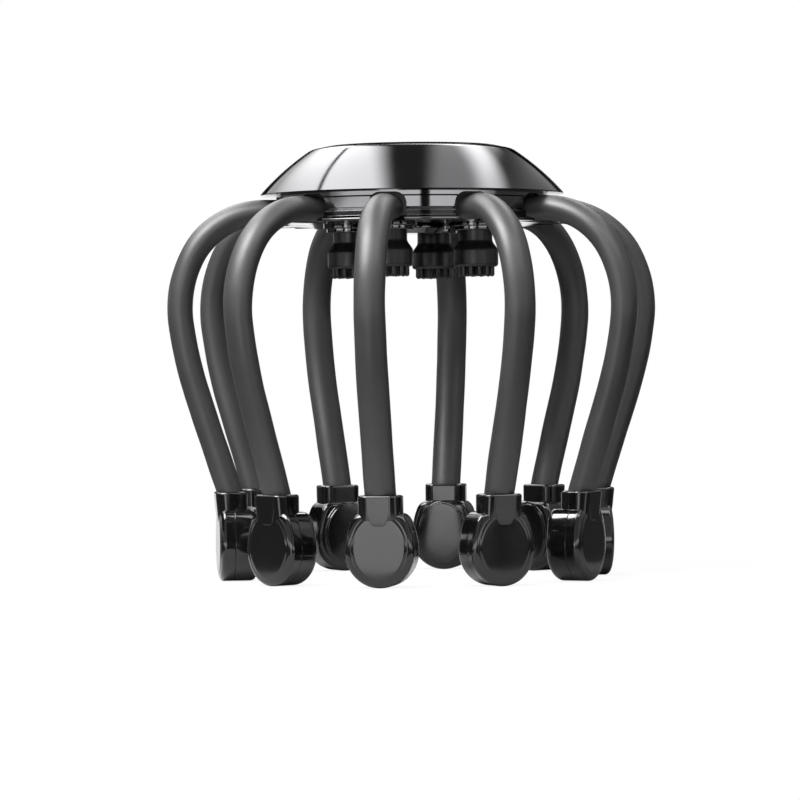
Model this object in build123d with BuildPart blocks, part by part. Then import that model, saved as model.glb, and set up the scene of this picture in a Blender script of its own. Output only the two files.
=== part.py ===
from build123d import *
import math
import os

# Electric scalp massager: a hub with a chromed conical ring and ten curved claws.
# Millimetres, +Z up, the floor under the claws' pods at z = 0, the hub's axis on Z.
# The first claw points to -Y and the others follow counter-clockwise.

# ---- claws ----
claw_count = 10
claw_pitch = 360 / claw_count
first_claw_angle = -90.0
hinge_radius = 51.0  # from the hub's axis to each claw's hinge
arm_height = 135.4  # from the floor to the hinges
arm_level_run = 3.9  # level stretch between the hinge and the first bend
arm_bend_radii = (30.0, 42.0, 150.0)
arm_bend_turns = (62.0, 35.5, 10.5)
arm_foot_bend_radius = 12.0  # turns the arm upright inside the collar
sleeve_width = 11.3  # along the hub's rim
sleeve_thickness = 9.4
core_diameter = 4.0
motor_diameter = 10.4
motor_thickness = 4.2

# ---- pods at the claws' ends ----
pod_radius = 12.4
pod_side_round = 32.0  # radius of the sides from the widest point up to the shoulders
pod_thickness = 13.4
pod_setback = 1.8  # the pod's middle lies this far inside the arm's foot
pod_outer_shell_depth = 5.2
pod_wall = 1.5
pod_edge_round = 2.0
pod_shoulder_height = 26.5  # from the floor to the collar's foot
collar_lead = 0.4  # the collar's middle lies this far outside the arm's foot
collar_width = 15.8
collar_depth = 11.6
collar_height = 6.3
collar_corner_round = 5.2
collar_rim_round = 0.6
tongue_width = 5.6  # narrow end of the collar's front, where it runs down into the pod's face
tongue_depth = 4.0
tongue_corner_round = 1.6
tongue_length = 8.5  # from the collar's foot down to that end
sleeve_insertion = 4.6  # how deep the sleeve sits in its collar
face_inset = 2.7  # rim of the pod's outer face round its raised middle
face_relief = 0.3
pad_width = 19.4
pad_height = 25.0
pad_relief = 0.6

# ---- hub ----
socket_corner_round = 4.2
band_setback = 0.8  # the band's face lies this far inside the hinges
band_wall = 1.6
seam_drop = 1.1  # from the top of a socket down to the seam round the band
tier_step = 1.3  # the tier stands this far out from the band, and the plate from the tier
tier_height = 2.0
plate_step = 3.0
plate_thickness = 1.8
plate_rim_height = 0.9
plate_rim_chamfer = 0.4
groove_depth = 0.4
ring_overhang = 6.0  # past the band's face
ring_lift = 0.9  # from the top of a socket up to the ring's lower edge
ring_flank_height = 16.0
ring_shoulder_radius = 38.5
ring_flank_bulge = 1.4
ring_wall = 2.0
ring_corner_inset = 1.0
ring_flange_height = 1.6
ring_ledge_width = 2.4
ring_ledge_height = 1.5
cover_seat_drop = 0.9  # cover's underside below the ring's shoulder
cover_radius = 35.2
cover_thickness = 2.1
cover_crown = 0.9
cover_flat_radius = 31.0
light_ring_radius = 11.6
light_ring_width = 2.4
light_ring_lip_width = 1.4
light_ring_lip_height = 0.8
button_dome = 0.4
button_tab_count = 3
button_tab_radius = 0.9
button_tab_height = 0.8
button_travel = 0.7
button_plunger_diameter = 4.0

# ---- massage heads ----
head_count = 4
head_circle_radius = 24.6
head_neck_diameter = 12.4
head_body_diameter = 16.6
head_flange_width = 1.8
head_flange_height = 1.6
head_neck_drop = 6.1  # from the plate down to where the neck starts to widen
head_flare_height = 2.9
head_body_height = 7.0
head_edge_round = 1.2
nub_diameter = 1.9
nub_length = 3.6
nub_rings = ((0.0, 1), (3.1, 6), (6.1, 12))  # circle radius and number of nubs
bezel_diameter = 19.6
bezel_step = 1.2
bezel_step_height = 1.1
bezel_drop = 2.6
bezel_sleeve_wall = 0.9
cap_diameter = 24.8
cap_step = 1.0
cap_rim_height = 1.5
cap_drop = 3.4
cap_stud_diameter = 6.0

# ---- inner parts ----
frame_ring_width = 6.2
frame_web_drop = 2.2  # web's underside below the ring's lower edge
frame_web_thickness = 2.0
frame_post_diameter = 5.0
frame_post_circle_radius = 31.0
frame_post_count = 4
battery_size = (44.0, 30.0, 7.0)
battery_corner_round = 2.5
board_radius = 30.0
board_thickness = 1.2
board_gap = 1.5  # between the battery and the circuit board
chip_size = (7.0, 7.0, 1.1)
chip_circle_radius = 18.0
chip_count = 3
chip_angle = 60.0
switch_size = (6.0, 6.0, 2.4)
switch_stem_diameter = 3.2
screw_count = 5
screw_inset = 9.6  # the screws' circle inside the band's inner face
screw_angle = 36.0
screw_head_diameter = 4.8
screw_head_height = 1.1
screw_slot_length = 2.9
screw_slot_width = 0.7
screw_shank_diameter = 2.2
screw_length = 6.5
screw_boss_diameter = 6.4
port_angle = 0.0  # midway between two sockets
port_size = (8.9, 3.2)
port_shell = 0.35
port_depth = 6.5

# ---- clearances ----
socket_gap = 0.5  # above the sleeve in its socket
socket_side_gap = 0.8
cup_gap = 0.35  # between a sleeve's rounded root and the frame
plate_gap = 0.1  # plate's face below the sleeves' lower side
core_gap = 0.15
collar_gap = 0.1
press_gap = 0.05
seam_gap = 0.1
sliding_gap = 0.3
screw_gap = 0.1
cut_overrun = 1.0  # how far a cut runs past the wall it goes through

# ---- radii and heights that follow ----
band_radius = hinge_radius - band_setback
band_inner_radius = band_radius - band_wall
tier_radius = band_radius + tier_step
plate_radius = tier_radius + plate_step
ring_radius = band_radius + ring_overhang
frame_inner_radius = band_inner_radius - frame_ring_width
screw_circle_radius = band_inner_radius - screw_inset
socket_top = arm_height + sleeve_thickness / 2 + socket_gap
seam_height = socket_top - seam_drop
ring_bottom = socket_top + ring_lift
ring_shoulder = ring_bottom + ring_flank_height
plate_bottom = arm_height - sleeve_thickness / 2 - plate_gap
plate_top = plate_bottom + plate_thickness
tier_top = plate_top + tier_height
cover_bottom = ring_shoulder - cover_seat_drop
cover_edge_top = cover_bottom + cover_thickness
cover_top = cover_edge_top + cover_crown
collar_top = pod_shoulder_height + collar_height
sleeve_end = collar_top - sleeve_insertion
web_bottom = ring_bottom - frame_web_drop
web_top = web_bottom + frame_web_thickness
board_bottom = web_top + battery_size[2] + board_gap
board_top = board_bottom + board_thickness
head_angles = [360 / head_count * (head + 0.5) for head in range(head_count)]
bezel_bore_radius = head_neck_diameter / 2 + sliding_gap
bezel_sleeve_radius = bezel_bore_radius + bezel_sleeve_wall

os.makedirs("parts", exist_ok=True)


def save(piece, node):
    piece.label = node
    export_step(piece, f"parts/{node}.step")


def save_turned_copies(piece, node):
    """Write one copy of a claw's piece for each claw, turned about the hub's axis."""
    for claw in range(claw_count):
        turned = piece.rotate(Axis.Z, first_claw_angle + claw * claw_pitch)
        save(turned, f"{node}_{claw + 1:02d}")


def ring_of_planes(count, radius, height, start_angle):
    """Level planes at equal steps on a circle about the hub's axis."""
    turns = [math.radians(start_angle + 360 / count * step) for step in range(count)]
    return [Plane((radius * math.cos(t), radius * math.sin(t), height)) for t in turns]


# =====================================================================
# Claw: drawn along +X in the XZ plane, then turned to each place
# =====================================================================
hinge = Vector(hinge_radius, 0, arm_height)
arm_lean = sum(arm_bend_turns) - 90

with BuildLine(Plane.XZ) as arm_route:
    run = Line((hinge_radius, arm_height), (hinge_radius + arm_level_run, arm_height))
    for bend_radius, bend_turn in zip(arm_bend_radii, arm_bend_turns):
        run = JernArc(run @ 1, run % 1, bend_radius, -bend_turn)
    lean_run = ((run @ 1).Z - collar_top) / math.cos(math.radians(arm_lean))
    lean = Line(run @ 1, (run @ 1) + (run % 1) * lean_run)
    foot_bend = JernArc(lean @ 1, lean % 1, arm_foot_bend_radius, arm_lean)
    foot_run = Line(foot_bend @ 1, ((foot_bend @ 1).X, sleeve_end))
arm_foot = foot_run @ 1
pod_centre = Vector(arm_foot.X - pod_setback, 0, pod_radius)
collar_centre = arm_foot.X + collar_lead

with BuildLine(Plane.XZ) as core_route:
    add(arm_route.line)
    Line(arm_foot, (arm_foot.X, pod_centre.Z))

root_plane = Plane(origin=hinge, x_dir=(0, 1, 0), z_dir=(1, 0, 0))

with BuildPart() as arm_sleeve:
    with BuildSketch(root_plane):
        Ellipse(sleeve_width / 2, sleeve_thickness / 2)
    sweep(path=arm_route.line)
    with BuildSketch(root_plane):
        Ellipse(sleeve_width / 2, sleeve_thickness / 2)
        Rectangle(sleeve_width, sleeve_thickness, align=(Align.CENTER, Align.MAX), mode=Mode.SUBTRACT)
    revolve(axis=Axis(hinge, (0, 1, 0)), revolution_arc=-180)
    with BuildSketch(root_plane):
        Circle(core_diameter / 2 + core_gap)
    sweep(path=arm_route.line, mode=Mode.SUBTRACT)
save_turned_copies(arm_sleeve.part, "arm_sleeve")

with BuildPart() as motor_core:
    with BuildSketch(root_plane.offset(core_gap)):
        Circle(core_diameter / 2)
    sweep(path=core_route.line)
    with BuildSketch(Plane(origin=pod_centre, x_dir=(0, 1, 0), z_dir=(1, 0, 0))):
        Circle(motor_diameter / 2)
    extrude(amount=motor_thickness / 2, both=True)
save_turned_copies(motor_core.part, "motor_core")

# The pod is built whole, hollowed, and parted at its seam into two shells.
pod_front = pod_centre.X + pod_thickness / 2
pod_back = pod_centre.X - pod_thickness / 2
pod_back_plane = Plane(origin=(pod_back, 0, 0), x_dir=(0, 1, 0), z_dir=(1, 0, 0))
pod_front_plane = Plane(origin=(pod_front, 0, 0), x_dir=(0, 1, 0), z_dir=(1, 0, 0))
seam_plane = pod_front_plane.offset(-pod_outer_shell_depth)
tongue_height = pod_shoulder_height - tongue_length
tongue_centre = pod_front - seam_gap - tongue_depth / 2


def pod_outline(inset):
    """Round bottom and fuller sides up to level shoulders, all moved in by the inset."""
    side_radius = pod_side_round - inset
    side_turn = math.degrees(math.asin((pod_shoulder_height - inset - pod_radius) / side_radius))
    with BuildLine() as outline:
        bottom = CenterArc((0, pod_radius), pod_radius - inset, 180, 180)
        right = JernArc(bottom @ 1, (0, 1), side_radius, side_turn)
        left = JernArc(bottom @ 0, (0, 1), side_radius, -side_turn)
        Line(right @ 1, left @ 1)
    make_face(outline.edges())


with BuildPart() as pod:
    with BuildSketch(pod_back_plane):
        pod_outline(0)
    extrude(amount=pod_thickness)
    fillet(pod.faces().filter_by(Axis.X).edges(), pod_edge_round)
    with BuildSketch(Plane((tongue_centre, 0, tongue_height))):
        RectangleRounded(tongue_depth, tongue_width, tongue_corner_round)
    with BuildSketch(Plane((collar_centre, 0, pod_shoulder_height))):
        RectangleRounded(collar_depth, collar_width, collar_corner_round)
    loft(ruled=True)
    with BuildSketch(Plane((collar_centre, 0, pod_shoulder_height))):
        RectangleRounded(collar_depth, collar_width, collar_corner_round)
    extrude(amount=collar_height)
    fillet(pod.faces().sort_by(Axis.Z)[-1].edges(), collar_rim_round)
    with BuildSketch(pod_front_plane):
        pod_outline(face_inset)
    extrude(amount=face_relief)
    with BuildSketch(pod_back_plane.offset(-pad_relief)):
        with Locations((0, pod_shoulder_height / 2 + pad_relief)):
            Ellipse(pad_width / 2, pad_height / 2)
    extrude(amount=pad_relief + pod_wall)
    with BuildSketch(pod_back_plane.offset(pod_wall)):
        pod_outline(pod_wall)
    extrude(amount=pod_thickness - 2 * pod_wall, mode=Mode.SUBTRACT)
    with BuildSketch(Plane((arm_foot.X, 0, pod_radius))):
        Circle(core_diameter / 2 + core_gap)
    extrude(amount=collar_top - pod_radius, mode=Mode.SUBTRACT)
    with BuildSketch(root_plane):
        Ellipse(sleeve_width / 2 + collar_gap, sleeve_thickness / 2 + collar_gap)
    sweep(path=arm_route.line, mode=Mode.SUBTRACT)

with BuildPart() as pod_outer_shell:
    add(pod.part)
    split(bisect_by=seam_plane, keep=Keep.TOP)
save_turned_copies(pod_outer_shell.part, "pod_outer_shell")

with BuildPart() as pod_inner_shell:
    add(pod.part)
    split(bisect_by=seam_plane, keep=Keep.BOTTOM)
save_turned_copies(pod_inner_shell.part, "pod_inner_shell")

# =====================================================================
# Hub housing
# =====================================================================
socket_width = sleeve_width + 2 * socket_side_gap
socket_height = socket_top - arm_height
socket_reach = hinge_radius - sleeve_thickness / 2 - cup_gap  # inner end of each notch
claw_angles = [first_claw_angle + claw * claw_pitch for claw in range(claw_count)]


def radial_plane(angle, radius, height):
    """Upright plane square to a radius of the hub, facing outwards."""
    turn = math.radians(angle)
    outwards = (math.cos(turn), math.sin(turn), 0)
    origin = (radius * outwards[0], radius * outwards[1], height)
    return Plane(origin=origin, x_dir=(-outwards[1], outwards[0], 0), z_dir=outwards)


port_height = (tier_top + seam_height) / 2
port_round = port_size[1] / 2 - port_shell

# Round-topped sockets for the arms, open at the bottom
with BuildPart() as sockets:
    for angle in claw_angles:
        with BuildSketch(radial_plane(angle, socket_reach, arm_height)):
            RectangleRounded(socket_width, 2 * socket_height, socket_corner_round)
            Rectangle(socket_width, 3 * socket_height, align=(Align.CENTER, Align.MAX))
        extrude(amount=ring_radius - socket_reach)

with BuildPart() as lower_housing:
    with BuildSketch(Plane.XZ):
        Polygon(
            (0, plate_bottom),
            (plate_radius - plate_rim_chamfer, plate_bottom),
            (plate_radius, plate_bottom + plate_rim_chamfer),
            (plate_radius, plate_bottom + plate_rim_height),
            (tier_radius - groove_depth, plate_top),
            (tier_radius - groove_depth, plate_top + groove_depth),
            (tier_radius, plate_top + groove_depth),
            (tier_radius, tier_top - plate_rim_chamfer),
            (tier_radius - plate_rim_chamfer, tier_top),
            (band_radius - groove_depth, tier_top),
            (band_radius - groove_depth, tier_top + groove_depth),
            (band_radius, tier_top + groove_depth),
            (band_radius, seam_height),
            (band_inner_radius, seam_height),
            (band_inner_radius, plate_top),
            (0, plate_top),
            align=None,
        )
    revolve(axis=Axis.Z)
    add(sockets.part, mode=Mode.SUBTRACT)
    with BuildSketch(radial_plane(port_angle, band_radius + cut_overrun, port_height)):
        RectangleRounded(port_size[0] + 2 * press_gap, port_size[1] + 2 * press_gap, port_round)
    extrude(amount=-(band_wall + 2 * cut_overrun), mode=Mode.SUBTRACT)
    with BuildSketch(Plane.XY.offset(plate_bottom)):
        with PolarLocations(head_circle_radius, head_count, head_angles[0]):
            Circle(bezel_sleeve_radius + press_gap)
        Circle(cap_stud_diameter / 2 + press_gap)
        with PolarLocations(screw_circle_radius, screw_count, screw_angle):
            Circle(screw_shank_diameter / 2 + screw_gap)
    extrude(amount=plate_thickness, mode=Mode.SUBTRACT)
    with BuildSketch(Plane.XY.offset(plate_bottom)):
        with PolarLocations(screw_circle_radius, screw_count, screw_angle):
            Circle(screw_head_diameter / 2 + screw_gap)
    extrude(amount=screw_head_height, mode=Mode.SUBTRACT)
save(lower_housing.part, "lower_housing")

ring_bore = cover_radius + press_gap
ledge_radius = ring_bore - ring_ledge_width
ledge_bottom = cover_bottom - ring_ledge_height
flange_top = ring_bottom + ring_flange_height
flank_slope = math.hypot(ring_radius - ring_shoulder_radius, ring_flank_height) / ring_flank_height
flank_level_wall = ring_wall * flank_slope  # the sloping wall measured level

with BuildPart() as trim_ring:
    with BuildSketch(Plane.XZ):
        with BuildLine():
            flank = SagittaArc(
                (ring_radius, ring_bottom),
                (ring_shoulder_radius, ring_shoulder),
                -ring_flank_bulge,
            )
            corner = TangentArc(flank @ 1, (ring_bore, cover_edge_top), tangent=flank % 1)
            inner_flank_top = (ring_shoulder_radius - ring_corner_inset, ledge_bottom)
            inner_flank_foot = (ring_radius - flank_level_wall - ring_corner_inset, flange_top)
            bore = Polyline(
                corner @ 1,
                (ring_bore, cover_bottom),
                (ledge_radius, cover_bottom),
                (ledge_radius, ledge_bottom),
                inner_flank_top,
            )
            inner_flank = SagittaArc(bore @ 1, inner_flank_foot, ring_flank_bulge)
            Polyline(
                inner_flank @ 1,
                (band_inner_radius, flange_top),
                (band_inner_radius, seam_height + seam_gap),
                (band_radius, seam_height + seam_gap),
                (band_radius, ring_bottom),
                flank @ 0,
            )
        make_face()
    revolve(axis=Axis.Z)
    add(sockets.part, mode=Mode.SUBTRACT)
save(trim_ring.part, "trim_ring")

button_radius = light_ring_radius - light_ring_width - sliding_gap
button_tab_top = cover_bottom - seam_gap
button_bottom = button_tab_top - button_tab_height

with BuildPart() as top_cover:
    with BuildSketch(Plane.XZ):
        Polygon(
            (light_ring_radius + press_gap, cover_bottom),
            (cover_radius, cover_bottom),
            (cover_radius, cover_edge_top),
            (cover_flat_radius, cover_top),
            (light_ring_radius + press_gap, cover_top),
            align=None,
        )
    revolve(axis=Axis.Z)
save(top_cover.part, "top_cover")

lip_band = light_ring_lip_width + light_ring_width / 2

with BuildPart() as light_ring:
    with BuildSketch(Plane.XZ):
        with Locations((light_ring_radius, cover_top)):
            Rectangle(light_ring_width, cover_top - cover_bottom, align=(Align.MAX, Align.MAX))
        with Locations((light_ring_radius + light_ring_lip_width, cover_bottom)):
            Rectangle(lip_band, light_ring_lip_height, align=(Align.MAX, Align.MAX))
    revolve(axis=Axis.Z)
save(light_ring.part, "light_ring")

switch_top = board_top + switch_size[2]
plunger_bottom = switch_top + button_travel + seam_gap

with BuildPart() as power_button:
    with BuildSketch(Plane.XZ):
        with BuildLine():
            face = ThreePointArc(
                (0, cover_top + button_dome),
                (button_radius / 2, cover_top + button_dome * 0.75),
                (button_radius, cover_top),
            )
            Polyline(
                face @ 1,
                (button_radius, button_bottom),
                (button_plunger_diameter / 2, button_bottom),
                (button_plunger_diameter / 2, plunger_bottom),
                (0, plunger_bottom),
                face @ 0,
            )
        make_face()
    revolve(axis=Axis.Z)
    with BuildSketch(Plane.XY.offset(button_bottom)):
        with PolarLocations(button_radius, button_tab_count):
            Circle(button_tab_radius)
    extrude(amount=button_tab_height)
save(power_button.part, "power_button")

# =====================================================================
# Massage heads, their bezels and the centre cap
# =====================================================================
neck_radius = head_neck_diameter / 2
body_radius = head_body_diameter / 2
neck_bottom = plate_bottom - head_neck_drop
body_top = neck_bottom - head_flare_height
body_bottom = body_top - head_body_height
flange_bottom = plate_top + seam_gap

with BuildPart() as massage_head:
    with BuildSketch(Plane.XZ):
        with BuildLine():
            base = Line((0, body_bottom), (body_radius - head_edge_round, body_bottom))
            edge = JernArc(base @ 1, base % 1, head_edge_round, 90)
            side = Line(edge @ 1, (body_radius, body_top - head_edge_round))
            flare = Spline(
                side @ 1, (neck_radius, neck_bottom), tangents=(side % 1, side % 1)
            )
            Polyline(
                flare @ 1,
                (neck_radius, flange_bottom),
                (neck_radius + head_flange_width, flange_bottom),
                (neck_radius + head_flange_width, flange_bottom + head_flange_height),
                (0, flange_bottom + head_flange_height),
                base @ 0,
            )
        make_face()
    revolve(axis=Axis.Z)
    for circle_radius, nub_count in nub_rings:
        for nub_plane in ring_of_planes(nub_count, circle_radius, body_bottom, 0):
            with BuildSketch(nub_plane):
                Circle(nub_diameter / 2)
            extrude(amount=-(nub_length - nub_diameter / 2))
            with Locations(nub_plane.offset(-(nub_length - nub_diameter / 2))):
                Sphere(nub_diameter / 2)

for number, head_angle in enumerate(head_angles, start=1):
    turn = math.radians(head_angle)
    place = Location((head_circle_radius * math.cos(turn), head_circle_radius * math.sin(turn), 0))
    save(massage_head.part.moved(place), f"massage_head_{number}")

bezel_radius = bezel_diameter / 2

with BuildPart() as head_bezels:
    for bezel_plane in ring_of_planes(head_count, head_circle_radius, plate_bottom, head_angles[0]):
        with BuildSketch(bezel_plane.offset(-bezel_step_height)):
            Circle(bezel_radius)
            Circle(bezel_bore_radius, mode=Mode.SUBTRACT)
        extrude(amount=bezel_step_height)
        with BuildSketch(bezel_plane.offset(-bezel_drop)):
            Circle(bezel_radius - bezel_step)
            Circle(bezel_bore_radius, mode=Mode.SUBTRACT)
        extrude(amount=bezel_drop)
        with BuildSketch(bezel_plane):
            Circle(bezel_sleeve_radius)
            Circle(bezel_bore_radius, mode=Mode.SUBTRACT)
        extrude(amount=plate_thickness)
save(head_bezels.part, "head_bezels")

cap_radius = cap_diameter / 2

with BuildPart() as centre_cap:
    with BuildSketch(Plane.XZ):
        Polygon(
            (0, plate_bottom),
            (cap_radius - cap_step, plate_bottom),
            (cap_radius, plate_bottom - cap_step / 2),
            (cap_radius, plate_bottom - cap_rim_height),
            (cap_radius - 2 * cap_step, plate_bottom - cap_drop),
            (0, plate_bottom - cap_drop),
            align=None,
        )
    revolve(axis=Axis.Z)
    with BuildSketch(Plane.XY.offset(plate_bottom)):
        Circle(cap_stud_diameter / 2)
    extrude(amount=plate_thickness)
save(centre_cap.part, "centre_cap")

# =====================================================================
# Inside the hub
# =====================================================================
frame_radius = band_inner_radius - press_gap

with BuildPart() as inner_frame:
    with BuildSketch(Plane.XY.offset(plate_top)):
        Circle(frame_radius)
        Circle(frame_inner_radius, mode=Mode.SUBTRACT)
    extrude(amount=web_top - plate_top)
    with BuildSketch(Plane.XY.offset(web_bottom)):
        Circle(frame_radius)
    extrude(amount=frame_web_thickness)
    with BuildSketch(Plane.XY.offset(plate_top)):
        with PolarLocations(screw_circle_radius, screw_count, screw_angle):
            Circle(screw_boss_diameter / 2)
    extrude(amount=web_bottom - plate_top)
    with BuildSketch(Plane.XY.offset(web_top)):
        with PolarLocations(frame_post_circle_radius, frame_post_count):
            Circle(frame_post_diameter / 2)
    extrude(amount=board_bottom - web_top)
    for angle in claw_angles:
        with BuildSketch(radial_plane(angle, hinge_radius, arm_height)):
            Ellipse(sleeve_width / 2 + cup_gap, sleeve_thickness / 2 + cup_gap)
            Rectangle(2 * sleeve_width, sleeve_width, align=(Align.CENTER, Align.MAX), mode=Mode.SUBTRACT)
        pivot = radial_plane(angle, hinge_radius, arm_height)
        revolve(axis=Axis(pivot.origin, pivot.x_dir), mode=Mode.SUBTRACT)
    with BuildSketch(Plane.XY.offset(plate_top)):
        with PolarLocations(screw_circle_radius, screw_count, screw_angle):
            Circle(screw_shank_diameter / 2 + press_gap)
    extrude(amount=screw_length, mode=Mode.SUBTRACT)
    with BuildSketch(radial_plane(port_angle, band_radius, port_height)):
        RectangleRounded(port_size[0] + 2 * press_gap, port_size[1] + 2 * press_gap, port_round)
    extrude(amount=-(port_depth + press_gap), mode=Mode.SUBTRACT)
save(inner_frame.part, "inner_frame")

with BuildPart() as battery_pack:
    with BuildSketch(Plane.XY.offset(web_top)):
        RectangleRounded(battery_size[0], battery_size[1], battery_corner_round)
    extrude(amount=battery_size[2])
save(battery_pack.part, "battery_pack")

with BuildPart() as circuit_board:
    with BuildSketch(Plane.XY.offset(board_bottom)):
        Circle(board_radius)
    extrude(amount=board_thickness)
    with BuildSketch(Plane.XY.offset(board_top)):
        with PolarLocations(chip_circle_radius, chip_count, chip_angle):
            Rectangle(chip_size[0], chip_size[1])
    extrude(amount=chip_size[2])
save(circuit_board.part, "circuit_board")

with BuildPart() as tactile_switch:
    with BuildSketch(Plane.XY.offset(board_top)):
        Rectangle(switch_size[0], switch_size[1])
    extrude(amount=switch_size[2] - seam_gap)
    with BuildSketch(Plane.XY.offset(board_top)):
        Circle(switch_stem_diameter / 2)
    extrude(amount=switch_size[2])
save(tactile_switch.part, "tactile_switch")

with BuildPart() as charging_port:
    with BuildSketch(radial_plane(port_angle, band_radius, port_height)):
        RectangleRounded(port_size[0], port_size[1], port_round)
    extrude(amount=-port_depth)
    with BuildSketch(radial_plane(port_angle, band_radius, port_height)):
        RectangleRounded(
            port_size[0] - 2 * port_shell,
            port_size[1] - 2 * port_shell,
            port_round - port_shell,
        )
    extrude(amount=-(port_depth - 2 * port_shell), mode=Mode.SUBTRACT)
save(charging_port.part, "charging_port")

with BuildPart() as housing_screws:
    for screw_plane in ring_of_planes(screw_count, screw_circle_radius, plate_bottom, screw_angle):
        with BuildSketch(screw_plane):
            Circle(screw_head_diameter / 2)
        extrude(amount=screw_head_height)
        with BuildSketch(screw_plane.offset(screw_head_height)):
            Circle(screw_shank_diameter / 2)
        extrude(amount=screw_length - screw_gap)
        with BuildSketch(screw_plane):
            Rectangle(screw_slot_length, screw_slot_width)
            Rectangle(screw_slot_width, screw_slot_length)
        extrude(amount=screw_head_height / 2, mode=Mode.SUBTRACT)
save(housing_screws.part, "housing_screws")

print(f"pods stand {pod_centre.X:.2f} from the axis, top of the hub at {cover_top + button_dome:.2f}")
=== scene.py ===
import math

import bmesh
import bpy
from mathutils import Matrix, Vector


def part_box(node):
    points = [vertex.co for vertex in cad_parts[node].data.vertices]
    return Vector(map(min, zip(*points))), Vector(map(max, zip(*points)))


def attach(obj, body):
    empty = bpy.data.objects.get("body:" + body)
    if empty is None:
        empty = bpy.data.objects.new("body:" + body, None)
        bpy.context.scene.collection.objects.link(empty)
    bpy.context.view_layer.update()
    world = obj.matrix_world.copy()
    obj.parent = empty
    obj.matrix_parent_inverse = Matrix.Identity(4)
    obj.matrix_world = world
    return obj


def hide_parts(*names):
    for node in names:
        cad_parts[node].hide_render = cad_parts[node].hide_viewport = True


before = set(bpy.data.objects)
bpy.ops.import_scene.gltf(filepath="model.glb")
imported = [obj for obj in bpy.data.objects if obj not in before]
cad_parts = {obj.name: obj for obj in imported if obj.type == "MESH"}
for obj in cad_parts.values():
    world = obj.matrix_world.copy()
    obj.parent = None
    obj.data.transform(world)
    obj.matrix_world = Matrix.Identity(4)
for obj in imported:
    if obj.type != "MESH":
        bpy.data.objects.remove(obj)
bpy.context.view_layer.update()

# Electric scalp massager: hub with a chromed ring, ten claws with pods, four nubbed heads.
# Metres, +Z up, the floor at z = 0, the hub's axis on Z. The first claw points to -Y.
MM = 0.001

# ---- claws ----
CLAW_COUNT = 10
CLAW_TURNS = [math.radians(-90 + 36 * claw) for claw in range(CLAW_COUNT)]
HINGE_RADIUS = 51.0 * MM
ARM_HEIGHT = 135.4 * MM
ARM_LEVEL_RUN = 3.9 * MM
ARM_BENDS = ((30.0 * MM, 62.0), (42.0 * MM, 35.5), (150.0 * MM, 10.5))  # radius and turn
ARM_FOOT_BEND_RADIUS = 12.0 * MM
SLEEVE_WIDTH = 11.3 * MM
SLEEVE_THICKNESS = 9.4 * MM
SLEEVE_STEP = 1.4 * MM
SLEEVE_ROOT_TURN = math.radians(88)
DENT_DEPTH = 0.7 * MM
DENT_SCALE = 45.0
DENT_SEED_STEP = 3.7

# ---- pods ----
POD_RADIUS = 12.4 * MM
POD_SIDE_ROUND = 29.0 * MM
POD_THICKNESS = 13.4 * MM
POD_SETBACK = 1.8 * MM
POD_OUTER_SHELL = 5.2 * MM
POD_SHOULDER = 26.5 * MM
POD_SHOULDER_ROUND = 2.9 * MM
COLLAR_LEAD = 0.4 * MM
COLLAR_WIDTH = 15.8 * MM
COLLAR_DEPTH = 11.6 * MM
COLLAR_ROUND = 4.6 * MM
COLLAR_FLAT = 8.2 * MM
COLLAR_FOOT = 23.8 * MM
COLLAR_TOP = 32.8 * MM
COLLAR_RIM_ROUND = 0.9 * MM
SLEEVE_INSERTION = 4.6 * MM
TONGUE_WIDTH = 5.6 * MM
TONGUE_END = 21.9 * MM
TONGUE_ROUND = 1.5 * MM
FACE_RELIEF = 0.3 * MM
FACE_MIDDLE = 14.2 * MM
FACE_HALF_WIDTH = 9.9 * MM
FACE_HALF_HEIGHT = 12.1 * MM
PAD_WIDTH = 19.4 * MM
PAD_HEIGHT = 25.0 * MM
PAD_RELIEF = 0.6 * MM
SEAM_ROUND = 0.22 * MM

# ---- hub, from the frame's own boxes ----
ring_low, ring_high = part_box("trim_ring")
housing_low, housing_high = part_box("lower_housing")
cover_low, cover_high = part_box("top_cover")
light_low, light_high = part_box("light_ring")
button_low, button_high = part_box("power_button")
cap_low, cap_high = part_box("centre_cap")
PLATE_BOTTOM = housing_low.z
SEAM = housing_high.z
PLATE_RADIUS = 54.5 * MM
PLATE_EDGE = 0.9 * MM
PLATE_TOP = PLATE_BOTTOM + 1.8 * MM
TIER_RADIUS = 51.5 * MM
TIER_TOP = PLATE_TOP + 2.0 * MM
BAND_RADIUS = 50.2 * MM
BAND_INNER = 48.6 * MM
SOCKET_TOP = ARM_HEIGHT + SLEEVE_THICKNESS / 2 + 0.5 * MM
SOCKET_WIDTH = SLEEVE_WIDTH + 1.6 * MM
SOCKET_ROUND = 4.2 * MM
SOCKET_EASE = 0.5 * MM  # dark gap left round each sleeve
SOCKET_REACH = HINGE_RADIUS - SLEEVE_THICKNESS / 2 - 0.35 * MM
RING_RADIUS = ring_high.x
RING_BOTTOM = SOCKET_TOP + 0.9 * MM
RING_SHOULDER_RADIUS = 38.5 * MM
RING_SHOULDER = RING_BOTTOM + 16.0 * MM
RING_BULGE = 0.75 * MM
COVER_RADIUS = 35.2 * MM
HEAD_CIRCLE = 24.6 * MM
HEAD_TURNS = [math.radians(45 + 90 * head) for head in range(4)]
NECK_RADIUS = 6.2 * MM
BODY_RADIUS = 8.3 * MM
NUB_RADIUS = 0.95 * MM
NUB_LENGTH = 3.6 * MM
NUB_RINGS = ((0.0, 1), (3.1 * MM, 6), (6.1 * MM, 12))  # circle radius and number of nubs
BEZEL_RADIUS = 9.8 * MM
SCREW_CIRCLE = 39.0 * MM
SCREW_COUNT = 5
SCREW_START = math.radians(36)
SCREW_HEAD_RADIUS = 2.4 * MM
SCREW_HEAD_HEIGHT = 1.1 * MM
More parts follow.
